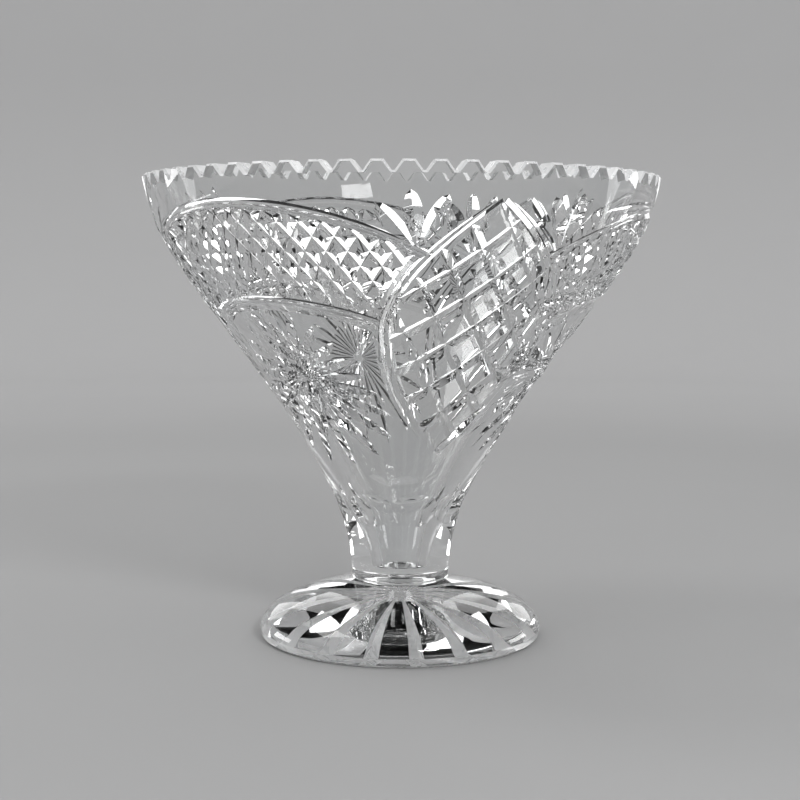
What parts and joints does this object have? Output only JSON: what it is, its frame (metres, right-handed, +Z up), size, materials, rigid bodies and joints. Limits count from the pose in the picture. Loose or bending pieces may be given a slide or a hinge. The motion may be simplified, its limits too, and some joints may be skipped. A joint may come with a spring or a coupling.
{
  "type": "footed fruit bowl",
  "caption": "Footed fruit bowl in clear hand-cut crystal: a flared bowl with a notched rim and cut ovals, swags, fans and sunbursts, fused to a domed foot with a star-cut underside.",
  "frame": {"origin": "on the surface that the bowl stands on, under the middle of the foot", "axes": "+Z up along the bowl's axis; -Y faces the camera of the picture, with an oval panel a little to the right of it"},
  "size_m": [0.254, 0.254, 0.228],
  "materials": {
    "bowl_crystal": "clear lead crystal, cut and polished, glossy on every facet",
    "foot_crystal": "clear lead crystal, fire-polished dome over a cut and polished underside"
  },
  "bodies": {
    "root": {"bowl": "bowl_crystal", "foot": "foot_crystal"}
  },
  "joints": []
}
